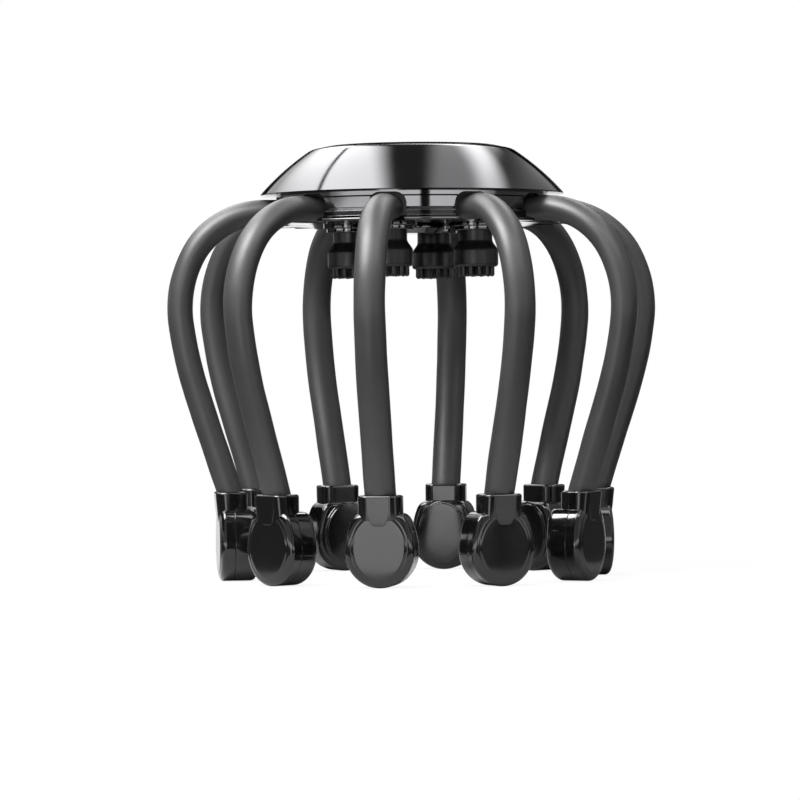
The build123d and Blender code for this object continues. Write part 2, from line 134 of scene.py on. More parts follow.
CUT_MARGIN = 2.0 * MM  # how far the sockets' cutters reach past the hub
SHARP = 32  # degrees past which an edge stays sharp
SOFT_SHARP = 60  # the same for silicone
TINY = 1e-7

# ---- camera ----
CAMERA_TURN = math.radians(-25.8)
CAMERA_DISTANCE = 1.48
CAMERA_HEIGHT = 0.078
CAMERA_LENS = 180
CAMERA_SENSOR = 36
CAMERA_SHIFT = (-0.0170, -0.0414)
CAMERA_ROLL = math.radians(0.55)


# ---- mesh helpers ----
def rounded(corners, steps=4):
    """Points along an open outline of (x, y, radius) corners, each rounded to its radius."""
    points = []
    for number, (x, y, radius) in enumerate(corners):
        here = Vector((x, y))
        if radius == 0 or number in (0, len(corners) - 1):
            points.append(here)
            continue
        before = Vector(corners[number - 1][:2]) - here
        after = Vector(corners[number + 1][:2]) - here
        half_angle = before.angle(after) / 2
        reach = min(radius / math.tan(half_angle), before.length * 0.49, after.length * 0.49)
        start = here + before.normalized() * reach
        end = here + after.normalized() * reach
        bisector = (before.normalized() + after.normalized()).normalized()
        centre = here + bisector * (reach / math.cos(half_angle))
        first = start - centre
        sweep = first.angle_signed(end - centre)
        for step in range(steps + 1):
            turn = -sweep * step / steps
            points.append(centre + Matrix.Rotation(turn, 2) @ first)
    return points


def arc(start, end, sagitta, steps):
    """Points of a shallow arc between two 2-D points, bulging to the left of the way by the sagitta."""
    start, end = Vector(start), Vector(end)
    chord = end - start
    side = Vector((-chord.y, chord.x)).normalized()
    points = []
    for step in range(steps + 1):
        share = step / steps
        lift = 4 * sagitta * share * (1 - share)
        points.append(start + chord * share + side * lift)
    return points


def curved(start, control, end, steps):
    """Points of a curve after its start, drawn towards the control point on the way to the end."""
    points = []
    for step in range(1, steps + 1):
        share = step / steps
        points.append(start * (1 - share) ** 2 + control * 2 * share * (1 - share) + end * share ** 2)
    return points


def turns(count, end=math.pi / 2):
    """Evenly spaced angles from zero to the end, both included."""
    return [end * step / count for step in range(count + 1)]


def ring_faces(bm, rings):
    """Join successive rings of equal length with four-sided faces, and give back each band's faces."""
    bands = []
    for lower, upper in zip(rings, rings[1:]):
        count = len(lower)
        bands.append([bm.faces.new((lower[k], lower[(k + 1) % count], upper[(k + 1) % count], upper[k]))
                      for k in range(count)])
    return bands


def placed(name, data):
    """New object with the given data, in the scene."""
    piece = bpy.data.objects.new(name, data)
    bpy.context.scene.collection.objects.link(piece)
    return piece


def softened(mesh, sharp=SHARP):
    """Shade a mesh smooth but for edges sharper than the angle."""
    mesh.shade_smooth()
    mesh.set_sharp_from_angle(angle=math.radians(sharp))
    return mesh


def settle(bm, name, sharp=SHARP):
    """Turn a bmesh into an object with outward faces."""
    bmesh.ops.remove_doubles(bm, verts=bm.verts, dist=TINY)
    bmesh.ops.recalc_face_normals(bm, faces=bm.faces)
    mesh = bpy.data.meshes.new(name)
    bm.to_mesh(mesh)
    bm.free()
    return placed(name, softened(mesh, sharp))


def lathe(name, profile, segments=160, centre=(0, 0), closed=True, sharp=SHARP):
    """Turn a profile of (radius, height) about an upright line through the centre."""
    bm = bmesh.new()
    columns = []
    for point in profile:
        radius, height = point
        if radius < TINY:
            columns.append([bm.verts.new((centre[0], centre[1], height))] * segments)
            continue
        ring = []
        for k in range(segments):
            turn = 2 * math.pi * k / segments
            spot = (centre[0] + radius * math.cos(turn), centre[1] + radius * math.sin(turn), height)
            ring.append(bm.verts.new(spot))
        columns.append(ring)
    pairs = list(zip(columns, columns[1:]))
    if closed:
        pairs.append((columns[-1], columns[0]))
    for lower, upper in pairs:
        for k in range(segments):
            after = (k + 1) % segments
            corners = []
            for vert in (lower[k], lower[after], upper[after], upper[k]):
                if vert not in corners:
                    corners.append(vert)
            if len(corners) > 2:
                bm.faces.new(corners)
    return settle(bm, name, sharp)


def stack(name, sections, sharp=SHARP):
    """Solid through level or upright closed sections, each a list of 3-D points."""
    bm = bmesh.new()
    rings = [[bm.verts.new(point) for point in section] for section in sections]
    ring_faces(bm, rings)
    bm.faces.new(rings[0])
    bm.faces.new(rings[-1])
    return settle(bm, name, sharp)


def evaluated_mesh(piece):
    """Mesh that a piece's modifiers give."""
    graph = bpy.context.evaluated_depsgraph_get()
    return bpy.data.meshes.new_from_object(piece.evaluated_get(graph))


def bake(piece):
    """Replace a piece's modifiers by the mesh that they give."""
    mesh = evaluated_mesh(piece)
    piece.modifiers.clear()
    piece.data = mesh
    return mesh


def cut(piece, other):
    """Cut the other solid out of the piece, and remove the other."""
    step = piece.modifiers.new("cut", "BOOLEAN")
    step.operation = "DIFFERENCE"
    step.solver = "EXACT"
    step.object = other
    softened(bake(piece))
    bpy.data.objects.remove(other)
    return piece


def merged(name, pieces):
    """One object from several, without touching their shapes."""
    bm = bmesh.new()
    for piece in pieces:
        bm.from_mesh(piece.data)
        bpy.data.objects.remove(piece)
    return settle(bm, name)


def turned_copy(piece, name, turn):
    """Copy of a piece turned about the hub's axis, with its place in its mesh."""
    mesh = piece.data.copy()
    mesh.name = name
    mesh.transform(Matrix.Rotation(turn, 4, "Z"))
    return placed(name, mesh)


def dress(piece, body, slot, *materials, replaces=()):
    """Give a piece even normals, its materials and its body, and hide the nodes that it stands for; the slot
    is not used.
    """
    step = piece.modifiers.new("evened", "WEIGHTED_NORMAL")
    step.keep_sharp = True
    bake(piece)
    piece.data.materials.clear()
    for material in materials:
        piece.data.materials.append(material)
    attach(piece, body)
    if replaces:
        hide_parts(*replaces)


# ---- nodes and materials ----
def feed(tree, node, inputs):
    """Give each named input of a node a plain value, or a link where the value is (node, output)."""
    for key, value in inputs.items():
        if isinstance(value, tuple) and isinstance(value[0], bpy.types.Node):
            source, output = value
            tree.links.new(source.outputs[output], node.inputs[key])
        else:
            node.inputs[key].default_value = value


def add_node(tree, kind, inputs=None, **settings):
    node = tree.nodes.new(kind)
    for key, value in settings.items():
        setattr(node, key, value)
    feed(tree, node, inputs or {})
    return node


def maths(tree, operation, *values):
    """Math node on values or links; gives the link from its result."""
    return add_node(tree, "ShaderNodeMath", dict(enumerate(values)), operation=operation), 0


def new_group(name, kind, inputs, outputs):
    """Node group with its sockets, and the nodes that hold them."""
    group = bpy.data.node_groups.new(name, kind)
    for way, sockets in (("INPUT", inputs), ("OUTPUT", outputs)):
        for socket, holds in sockets.items():
            group.interface.new_socket(socket, in_out=way, socket_type=f"NodeSocket{holds}")
    return group, add_node(group, "NodeGroupInput"), add_node(group, "NodeGroupOutput")


def end_tree(tree, shape, given, result):
    """End a Geometry Nodes tree: real faces, painted with the given material."""
    whole = add_node(tree, "GeometryNodeRealizeInstances", {"Geometry": shape})
    painted = add_node(tree, "GeometryNodeSetMaterial", {
        "Geometry": (whole, "Geometry"), "Material": (given, "Material")})
    feed(tree, result, {"Geometry": (painted, "Geometry")})
    return tree


def new_material(name):
    material = bpy.data.materials.new(name)
    material.use_nodes = True
    tree = material.node_tree
    return material, tree, tree.nodes["Principled BSDF"]


def surface_group():
    """Moulded or plated surface: cloudy smudges in the roughness and a fine grain for the bump."""
    group, given, result = new_group("surface_wear", "ShaderNodeTree", {
        "Colour": "Color", "Dust Colour": "Color", "Dust": "Float", "Smooth": "Float", "Rough": "Float",
        "Smudge Scale": "Float", "Grain Scale": "Float",
    }, {"Colour": "Color", "Roughness": "Float", "Grain": "Float"})
    place = add_node(group, "ShaderNodeTexCoord")
    smudge = add_node(group, "ShaderNodeTexNoise", {
        "Vector": (place, "Object"), "Scale": (given, "Smudge Scale"), "Detail": 4})
    grain = add_node(group, "ShaderNodeTexNoise", {
        "Vector": (place, "Object"), "Scale": (given, "Grain Scale"), "Detail": 2})
    spread = add_node(group, "ShaderNodeMapRange", {
        "Value": (smudge, "Fac"), "From Min": 0.35, "From Max": 0.68,
        "To Min": (given, "Smooth"), "To Max": (given, "Rough")})
    tint = add_node(group, "ShaderNodeMix", {
        "Factor": maths(group, "MULTIPLY", (grain, "Fac"), (given, "Dust")),
        "A": (given, "Colour"), "B": (given, "Dust Colour")}, data_type="RGBA")
    feed(group, result, {
        "Colour": (tint, "Result"), "Roughness": (spread, "Result"), "Grain": (grain, "Fac")})
    return group


SURFACE = surface_group()
DUST_COLOUR = (0.3, 0.3, 0.3, 1)
SMUDGE_SCALE = 60.0
GRAIN_SCALE = 2500.0


def finish_of(name, colour, smooth, rough, metallic=0.0, dust=0.0, grain_depth=0.00001, coat=0.0, ior=1.5):
    """Procedural finish of one material of the massager."""
    material, tree, shader = new_material(name)
    surface = add_node(tree, "ShaderNodeGroup", {
        "Colour": (*colour, 1), "Dust Colour": DUST_COLOUR, "Dust": dust, "Smooth": smooth, "Rough": rough,
        "Smudge Scale": SMUDGE_SCALE, "Grain Scale": GRAIN_SCALE}, node_tree=SURFACE)
    bump = add_node(tree, "ShaderNodeBump", {
        "Strength": 1.0, "Distance": grain_depth, "Height": (surface, "Grain")})
    feed(tree, shader, {
        "Base Color": (surface, "Colour"), "Roughness": (surface, "Roughness"), "Normal": (bump, "Normal"),
        "Metallic": metallic, "IOR": ior, "Coat Weight": coat, "Coat Roughness": 0.03})
    return material


DARK_CHROME = finish_of("dark_chrome", (0.10, 0.10, 0.103), 0.07, 0.12, metallic=1.0, grain_depth=0.000002)
POD_GLOSS = finish_of("pod_gloss", (0.003, 0.003, 0.0032), 0.07, 0.13, ior=1.48, grain_depth=0.000002)
POD_SATIN = finish_of("pod_satin", (0.007, 0.007, 0.0072), 0.42, 0.52, ior=1.48, grain_depth=0.000004)
SLEEVE_SILICONE = finish_of("sleeve_silicone", (0.022, 0.022, 0.0225), 0.40, 0.48, dust=0.02,
                            grain_depth=0.00002, ior=1.46)
HEAD_SILICONE = finish_of("head_silicone", (0.004, 0.004, 0.0042), 0.30, 0.40, dust=0.03, grain_depth=0.00001)
GLOSS_COVER = finish_of("gloss_cover", (0.008, 0.008, 0.0085), 0.05, 0.12, coat=1.0, grain_depth=0.000002)
LIGHT_DIFFUSER = finish_of("light_diffuser", (0.72, 0.73, 0.74), 0.30, 0.42, grain_depth=0.000004)
BUTTON_FACE = finish_of("button_face", (0.016, 0.016, 0.017), 0.26, 0.36, grain_depth=0.000008)
MARK_PAINT = finish_of("mark_paint", (0.55, 0.55, 0.55), 0.35, 0.45)
CORE_STEEL = finish_of("core_steel", (0.50, 0.50, 0.51), 0.25, 0.38, metallic=1.0)
FRAME_PLASTIC = finish_of("frame_plastic", (0.02, 0.02, 0.021), 0.45, 0.60, grain_depth=0.00002)
BATTERY_WRAP = finish_of("battery_wrap", (0.10, 0.14, 0.22), 0.30, 0.45)
BOARD_LAMINATE = finish_of("board_laminate", (0.012, 0.09, 0.035), 0.30, 0.45)
SWITCH_BODY = finish_of("switch_body", (0.03, 0.03, 0.03), 0.35, 0.50)
PORT_STEEL = finish_of("port_steel", (0.55, 0.55, 0.56), 0.18, 0.30, metallic=1.0)
SCREW_STEEL = finish_of("screw_steel", (0.12, 0.12, 0.125), 0.22, 0.38, metallic=1.0)


# ---- arm sleeves: an oval tube along the arm's route, made by Geometry Nodes ----
def arm_route():
    """Points of the arm's centreline in the XZ plane, from the hinge to the sleeve's end."""
    spot = Vector((HINGE_RADIUS, ARM_HEIGHT))
    heading = 0.0  # radians below level
    points = [spot.copy()]

    def ahead(length):
        nonlocal spot
        count = max(1, round(length / SLEEVE_STEP))
        for _ in range(count):
            spot = spot + Vector((math.cos(heading), -math.sin(heading))) * (length / count)
            points.append(spot.copy())

    def bend(radius, turn):
        nonlocal spot, heading
        count = max(2, round(radius * abs(turn) / SLEEVE_STEP))
        chord = 2 * radius * math.sin(abs(turn) / count / 2)
        for _ in range(count):
            heading += turn / count / 2
            spot = spot + Vector((math.cos(heading), -math.sin(heading))) * chord
            heading += turn / count / 2
            points.append(spot.copy())

    ahead(ARM_LEVEL_RUN)
    for radius, turn in ARM_BENDS:
        bend(radius, math.radians(turn))
    lean = heading - math.pi / 2
    ahead((spot.y - COLLAR_TOP) / math.cos(lean))
    bend(ARM_FOOT_BEND_RADIUS, -lean)
    ahead(spot.y - (COLLAR_TOP - SLEEVE_INSERTION))
    return points


ROUTE = arm_route()
FOOT = ROUTE[-1].x


def sleeve_tree():
    """Geometry Nodes tree that sweeps an oval along a curve and gives it soft dents."""
    tree, given, result = new_group("sleeve_along_route", "GeometryNodeTree", {
        "Geometry": "Geometry", "Width": "Float", "Thickness": "Float", "Dent Depth": "Float",
        "Dent Scale": "Float", "Seed": "Float", "Material": "Material",
    }, {"Geometry": "Geometry"})
    circle = add_node(tree, "GeometryNodeCurvePrimitiveCircle", {"Resolution": 44, "Radius": 0.5})
    size = add_node(tree, "ShaderNodeCombineXYZ", {
        "X": (given, "Width"), "Y": (given, "Thickness"), "Z": 1.0})
    shaped = add_node(tree, "GeometryNodeTransform", {"Geometry": (circle, "Curve"), "Scale": (size, 0)})
    swept = add_node(tree, "GeometryNodeCurveToMesh", {
        "Curve": (given, "Geometry"), "Profile Curve": (shaped, "Geometry"), "Fill Caps": True})
    where = add_node(tree, "GeometryNodeInputPosition")
    noise = add_node(tree, "ShaderNodeTexNoise", {
        "Vector": (where, 0), "W": (given, "Seed"), "Scale": (given, "Dent Scale"), "Detail": 1.0,
    }, noise_dimensions="4D")
    depth = maths(tree, "MULTIPLY", maths(tree, "SUBTRACT", (noise, "Fac"), 0.5), (given, "Dent Depth"))
    outwards = add_node(tree, "GeometryNodeInputNormal")
    push = add_node(tree, "ShaderNodeVectorMath", {0: (outwards, 0), "Scale": depth}, operation="SCALE")
    moved = add_node(tree, "GeometryNodeSetPosition", {"Geometry": (swept, "Mesh"), "Offset": (push, 0)})
    return end_tree(tree, (moved, "Geometry"), given, result)


def grown(piece, tree, sharp=SHARP, **values):
    """Run a Geometry Nodes tree on a piece with its inputs set by name, and keep the mesh."""
    step = piece.modifiers.new("grow", "NODES")
    step.node_group = tree
    for socket in tree.interface.items_tree:
        key = socket.name.lower().replace(" ", "_")
        if socket.in_out == "INPUT" and key in values:
            step[socket.identifier] = values[key]
    mesh = evaluated_mesh(piece)
    name = piece.name
    bpy.data.objects.remove(piece)
    return placed(name, softened(mesh, sharp))


def route_curve(name):
    """The route as a curve object, led in by a rounded root."""
    curve = bpy.data.curves.new(name, "CURVE")
    curve.dimensions = "3D"
    spots = []
    for turn in reversed(turns(8, SLEEVE_ROOT_TURN)[1:]):
        spots.append((HINGE_RADIUS - SLEEVE_THICKNESS / 2 * math.sin(turn), ARM_HEIGHT, math.cos(turn)))
    spots += [(point.x, point.y, 1.0) for point in ROUTE]
    spline = curve.splines.new("POLY")
    spline.points.add(len(spots) - 1)
    for point, (x, z, radius) in zip(spline.points, spots):
        point.co = (x, 0, z, 1)
        point.radius = radius
    return placed(name, curve)


def make_sleeves():
    tree = sleeve_tree()
    for claw, turn in enumerate(CLAW_TURNS, start=1):
        straight = grown(
            route_curve(f"sleeve_{claw:02d}_route"), tree, sharp=SOFT_SHARP,
            width=SLEEVE_WIDTH, thickness=SLEEVE_THICKNESS, dent_depth=DENT_DEPTH, dent_scale=DENT_SCALE,
            seed=claw * DENT_SEED_STEP, material=SLEEVE_SILICONE,
        )
        sleeve = turned_copy(straight, f"silicone_sleeve_{claw:02d}", turn)
        bpy.data.objects.remove(straight)
        dress(sleeve, f"claw_{claw:02d}", "sleeve_silicone", SLEEVE_SILICONE,
              replaces=[f"arm_sleeve_{claw:02d}"])


# ---- pods: two shells each, built on the XZ plane for a claw that points to +X ----
POD_X = FOOT - POD_SETBACK
POD_FRONT = POD_X + POD_THICKNESS / 2
POD_BACK = POD_X - POD_THICKNESS / 2
POD_SEAM = POD_FRONT - POD_OUTER_SHELL
COLLAR_X = FOOT + COLLAR_LEAD


def pod_outline(inset):
    """Pod seen from the front, as (across, height) points, moved in by the inset."""
    shoulder = POD_SHOULDER - inset
    radius = POD_RADIUS - inset
    side_centre = POD_RADIUS - POD_SIDE_ROUND
    side_radius = POD_SIDE_ROUND - inset
    side_turn = math.asin((shoulder - POD_RADIUS) / side_radius)
    round_turn = max(POD_SHOULDER_ROUND - inset * 0.5, 0.3 * MM) / side_radius
    points = [(radius * math.cos(math.pi + turn), POD_RADIUS + radius * math.sin(math.pi + turn))
              for turn in turns(48, math.pi)]
    side = [(side_centre + side_radius * math.cos(turn), POD_RADIUS + side_radius * math.sin(turn))
            for turn in turns(12, side_turn - round_turn)[1:]]
    corner = Vector((side_centre + side_radius * math.cos(side_turn), shoulder))
    start = Vector(side[-1])
    end = corner - Vector(((corner - start).length, 0))
    side += [tuple(point) for point in curved(start, corner, end, 4)]
    points += side
    for step in range(1, 6):
        share = step / 6
        points.append((end.x * (1 - 2 * share), end.y))
    points += [(-x, z) for x, z in reversed(side)]
    return points


def oval(middle, half_width, half_height):
    """Oval with one point for each point of the pod's outline."""
    points = []
    for x, z in pod_outline(1.0 * MM):
        turn = math.atan2((z - middle), x)
        reach = 1 / math.hypot(math.cos(turn) / half_width, math.sin(turn) / half_height)
        points.append((reach * math.cos(turn), middle + reach * math.sin(turn)))
    return points


def pad_outline(inset):
    """Oval of the pad that meets the scalp."""
    return oval(POD_SHOULDER / 2 + PAD_RELIEF, PAD_WIDTH / 2 - inset, PAD_HEIGHT / 2 - inset)


def face_outline(inset):
    """Oval of the matte face."""
    return oval(FACE_MIDDLE, FACE_HALF_WIDTH - inset, FACE_HALF_HEIGHT - inset)


def between(outline, other, share):
    """Outline on the way from one outline to another."""
    return [(x + (to_x - x) * share, z + (to_z - z) * share) for (x, z), (to_x, to_z) in zip(outline, other)]


def shell_of(name, rings, satin_bands):
    """Closed shell from rings of (outline points, depth), with its last bands and its end satin."""
    bm = bmesh.new()
    loops = [[bm.verts.new((depth, x, z)) for x, z in outline] for outline, depth in rings]
    for band in ring_faces(bm, loops)[-satin_bands:]:
        for face in band:
            face.material_index = 1
    bm.faces.new(loops[0])
    bm.faces.new(loops[-1]).material_index = 1
    return settle(bm, name)


def outer_shell():
    """Outer half of a pod: rim, slanted bevel and the raised oval face."""
    fall = 1.9 * MM
    rings = [
        (pod_outline(SEAM_ROUND), POD_SEAM),
        (pod_outline(SEAM_ROUND * 0.3), POD_SEAM + SEAM_ROUND * 0.3),
        (pod_outline(0), POD_SEAM + SEAM_ROUND),
        (pod_outline(0), POD_FRONT - fall - 0.2 * MM),
    ]
    edge = face_outline(-0.25 * MM)
    bevel_end = math.radians(84)
    for turn in turns(12, bevel_end):
        share = (1 - math.cos(turn)) / (1 - math.cos(bevel_end))
        rings.append((between(pod_outline(0), edge, share), POD_FRONT - fall + fall * math.sin(turn)))
    for inset, depth in ((-0.14, -0.02), (-0.02, 0.04), (0.14, 0.12), (0.36, 0.21),
                         (0.66, 0.27), (1.1, 0.30), (4, 0.30)):
        rings.append((face_outline(inset * MM), POD_FRONT + depth * MM))
    return shell_of("outer_shell", rings, 5)


def inner_shell():
    """Inner half of a pod: deep rim and the stepped oval pad that meets the scalp."""
    edge = 2.2 * MM
    rings = [(pod_outline(SEAM_ROUND), POD_SEAM - 0.02 * MM),
             (pod_outline(SEAM_ROUND * 0.3), POD_SEAM - SEAM_ROUND * 0.4),
             (pod_outline(0), POD_SEAM - SEAM_ROUND), (pod_outline(0), POD_BACK + edge + 0.3 * MM)]
    for turn in turns(7):
        inset = edge * (1 - math.cos(turn)) * 0.8
        rings.append((pod_outline(inset), POD_BACK + edge - edge * math.sin(turn)))
    pad = POD_BACK - PAD_RELIEF
    rings += [
        (pad_outline(-0.10 * MM), POD_BACK),
        (pad_outline(0), POD_BACK - 0.12 * MM),
        (pad_outline(0.10 * MM), POD_BACK - 0.24 * MM),
        (pad_outline(0.28 * MM), POD_BACK - 0.30 * MM),
        (pad_outline(0.75 * MM), POD_BACK - 0.30 * MM),
        (pad_outline(0.85 * MM), pad + 0.16 * MM),
        (pad_outline(0.98 * MM), pad + 0.04 * MM),
        (pad_outline(1.3 * MM), pad),
        (pad_outline(4.0 * MM), pad),
    ]
    return shell_of("inner_shell", rings, 4)


def collar_outline(inset):
    """Level outline of the collar, counter-clockwise, with its flat front on +X."""
    half_depth, half_width = COLLAR_DEPTH / 2 - inset, COLLAR_WIDTH / 2 - inset
    flat = COLLAR_FLAT / 2
    points = []
    for side_x, side_y in ((-1, -1), (1, -1), (1, 1), (-1, 1)):
        corner = []
        for turn in turns(10):
            corner.append((COLLAR_X + side_x * (half_depth - COLLAR_ROUND * (1 - math.cos(turn))),
                           side_y * (flat + (half_width - flat) * math.sin(turn))))
        points += corner if side_x == side_y else corner[::-1]
    return points


def collar():
    """Collar round the sleeve, from inside the pod's shoulders to its rounded rim."""
    reach = COLLAR_DEPTH / 2
    low_reach = POD_FRONT + FACE_RELIEF + 0.02 * MM - COLLAR_X
    sections = []
    for height, front in ((COLLAR_FOOT, low_reach), (COLLAR_TOP - COLLAR_RIM_ROUND, reach)):
        sections.append([(COLLAR_X + (x - COLLAR_X) * (front / reach if x > COLLAR_X else 1), y, height)
                         for x, y in collar_outline(0)])
    for turn in turns(5)[1:]:
        inset = COLLAR_RIM_ROUND * (1 - math.cos(turn))
        height = COLLAR_TOP - COLLAR_RIM_ROUND * (1 - math.sin(turn))
        sections.append([(x, y, height) for x, y in collar_outline(inset)])
    return stack("collar", sections)


def tongue():
    """Flat front of the collar carried on down over the pod's face, with a rounded end."""
    front = COLLAR_X + COLLAR_DEPTH / 2 + 0.03 * MM
    start = POD_FRONT + FACE_RELIEF + 0.06 * MM
    bend = COLLAR_TOP - COLLAR_RIM_ROUND
    root = POD_FRONT - 3 * MM
    edge = 0.18 * MM
    heights = [TONGUE_END + TONGUE_ROUND * (1 - math.cos(turn)) for turn in turns(8)]
    heights += [heights[-1] + (bend - heights[-1]) * step / 10 for step in range(1, 11)]
    sections = []
    for height in heights:
        share = (height - TONGUE_END) / (bend - TONGUE_END)
        low = min((height - TONGUE_END) / TONGUE_ROUND, 1)
        x = start + (front - start) * share
        widen = min(share / 0.55, 1)
        half = (TONGUE_WIDTH + (COLLAR_FLAT - TONGUE_WIDTH) * widen * widen * (3 - 2 * widen)) / 2
        half -= TONGUE_ROUND * (1 - math.sqrt(1 - (1 - low) ** 2))
        side = [(root, half), (x - edge, half)]
        for turn in turns(3)[1:]:
            side.append((x - edge * (1 - math.sin(turn)), half - edge * (1 - math.cos(turn))))
        outline = [(px, -py) for px, py in side] + side[::-1]
        sections.append([(px, py, height) for px, py in outline])
    piece = stack("tongue", sections, sharp=50)
    for area in piece.data.polygons:
        area.material_index = 1 if area.normal.x > 0.9 else 0
    return piece


def bore():
    """Space for the sleeve in the collar, following the end of the arm's route."""
    sections = []
    gap = 0.12 * MM
    tail = [point for point in ROUTE if point.y < COLLAR_TOP + 4 * MM]
    ahead = tail[1:] + [tail[-1] - Vector((0, MM))]
    for here, following in zip(tail, ahead):
        along = (following - here).normalized()
        across = Vector((-along.y, along.x))
        ring = []
        for k in range(48):
            turn = 2 * math.pi * k / 48
            lift = (SLEEVE_THICKNESS / 2 + gap) * math.cos(turn)
            ring.append((here.x + across.x * lift, (SLEEVE_WIDTH / 2 + gap) * math.sin(turn),
                         here.y + across.y * lift))
        sections.append(ring)
    return stack("bore", sections)


def slab(name, low, high):
    """Plain block between two corners."""
    x0, y0, z0 = low
    x1, y1, z1 = high
    outline = [(x0, y0), (x1, y0), (x1, y1), (x0, y1)]
    return stack(name, [[(x, y, z0) for x, y in outline], [(x, y, z1) for x, y in outline]])


def make_pods():
    seam = 0.06 * MM
    far, top = 30 * MM, COLLAR_TOP + MM
    whole_collar = cut(collar(), bore())
    front_half = turned_copy(whole_collar, "front_half", 0)
    back_half = turned_copy(whole_collar, "back_half", 0)
    bpy.data.objects.remove(whole_collar)
    cut(front_half, slab("behind", (0, -far, 0), (POD_SEAM + seam, far, top)))
    cut(back_half, slab("ahead", (POD_SEAM - seam, -far, 0), (2 * POD_FRONT, far, top)))
    outer = merged("outer", [outer_shell(), front_half, tongue()])
    inner = merged("inner", [inner_shell(), back_half])
    for claw, turn in enumerate(CLAW_TURNS, start=1):
        for kind, shell in (("outer", outer), ("inner", inner)):
            piece = turned_copy(shell, f"pod_{kind}_{claw:02d}", turn)
            dress(piece, f"claw_{claw:02d}", "pod_gloss", POD_GLOSS, POD_SATIN,
                  replaces=[f"pod_{kind}_shell_{claw:02d}"])
    bpy.data.objects.remove(outer)
    bpy.data.objects.remove(inner)


# ---- hub ----
def socket_cutters():
    """Ten round-topped sockets for the arms, open at the bottom."""
    low = PLATE_BOTTOM - CUT_MARGIN
    half = SOCKET_WIDTH / 2 + SOCKET_EASE
    top = SOCKET_TOP + SOCKET_EASE / 2
    corner = [(half - SOCKET_ROUND + SOCKET_ROUND * math.cos(turn),
               top - SOCKET_ROUND + SOCKET_ROUND * math.sin(turn)) for turn in turns(8)]
    arch = [(-half, low), (half, low)] + corner + [(-y, z) for y, z in reversed(corner)]
    near, far = SOCKET_REACH - SOCKET_EASE / 2, RING_RADIUS + CUT_MARGIN
    straight = stack("socket", [[(near, y, z) for y, z in arch], [(far, y, z) for y, z in arch]])
    cutters = [turned_copy(straight, f"socket_{number}", turn) for number, turn in enumerate(CLAW_TURNS)]
    bpy.data.objects.remove(straight)
    return merged("sockets", cutters)


def make_housing():
    rim = 0.35 * MM
    lip = 0.25 * MM
    crease = 0.2 * MM
    profile = rounded([
        (0, PLATE_BOTTOM, 0),
        (PLATE_RADIUS, PLATE_BOTTOM, rim),
        (PLATE_RADIUS, PLATE_BOTTOM + PLATE_EDGE, rim),
        (TIER_RADIUS, PLATE_TOP, crease / 2),
        (TIER_RADIUS - 0.45 * MM, PLATE_TOP, crease),
        (TIER_RADIUS - 0.35 * MM, TIER_TOP, lip),
        (BAND_RADIUS - 0.5 * MM, TIER_TOP, crease),
        (BAND_RADIUS, TIER_TOP + 1.0 * MM, 0.5 * MM),
        (BAND_RADIUS, SEAM, lip),
        (BAND_INNER, SEAM, 0),
        (BAND_INNER, PLATE_TOP, 0),
        (0, PLATE_TOP, 0),
    ])
    housing = cut(lathe("housing", profile, segments=240, closed=False), socket_cutters())
    low, high = PLATE_BOTTOM - MM, PLATE_BOTTOM + SCREW_HEAD_HEIGHT
    wide = SCREW_HEAD_RADIUS + 0.15 * MM
    holes = []
    for number in range(SCREW_COUNT):
        spot = on_circle(SCREW_CIRCLE, SCREW_START + 2 * math.pi * number / SCREW_COUNT)
        holes.append(lathe(f"hole_{number}", [(0, low), (wide, low), (wide, high), (0, high)], 40, spot))
    cut(housing, merged("holes", holes))
    port_low, port_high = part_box("charging_port")
    outline = rounded_upright(port_low, port_high, 0.15 * MM)
    ends = (port_low.x - MM, port_high.x + MM)
    cut(housing, stack("port_cut", [[(x, y, z) for y, z in outline] for x in ends]))
    dress(housing, "hub", "dark_chrome", DARK_CHROME, replaces=["lower_housing"])


def on_circle(radius, turn):
    """Level place on a circle round the hub's axis."""
    return radius * math.cos(turn), radius * math.sin(turn)


def rounded_upright(low, high, grow):
    """Outline of the charging port's mouth as (y, z) points, grown all round."""
    middle = (low.z + high.z) / 2
    radius = (high.z - low.z) / 2 + grow
    flat = (high.y - low.y) / 2 + grow - radius
    points = []
    for side, start in ((1, -90), (-1, 90)):
        for step in range(13):
            turn = math.radians(start + 180 * step / 12)
            points.append((side * flat + radius * math.cos(turn), middle + radius * math.sin(turn)))
    return points


def make_port():
    """Steel shell of the charging port with the contact tongue inside."""
    low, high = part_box("charging_port")
    wall = 0.3 * MM
    lip = 0.12 * MM
    sections = []
    for x, grow in ((low.x, 0), (high.x - lip, 0), (high.x, -lip), (high.x, -wall + lip / 2),
                    (high.x - lip, -wall), (low.x + 2 * wall, -wall)):
        sections.append([(x, y, z) for y, z in rounded_upright(low, high, grow)])
    shell = stack("port_shell", sections)
    dress(shell, "hub", "port_steel", PORT_STEEL, replaces=["charging_port"])
    middle = (low.z + high.z) / 2
    half_width, half_height = 3.1 * MM, 0.35 * MM
    tongue = slab("port_tongue", (low.x + wall, -half_width, middle - half_height),
                  (high.x - 1.0 * MM, half_width, middle + half_height))
    dress(tongue, "hub", "switch_body", SWITCH_BODY)


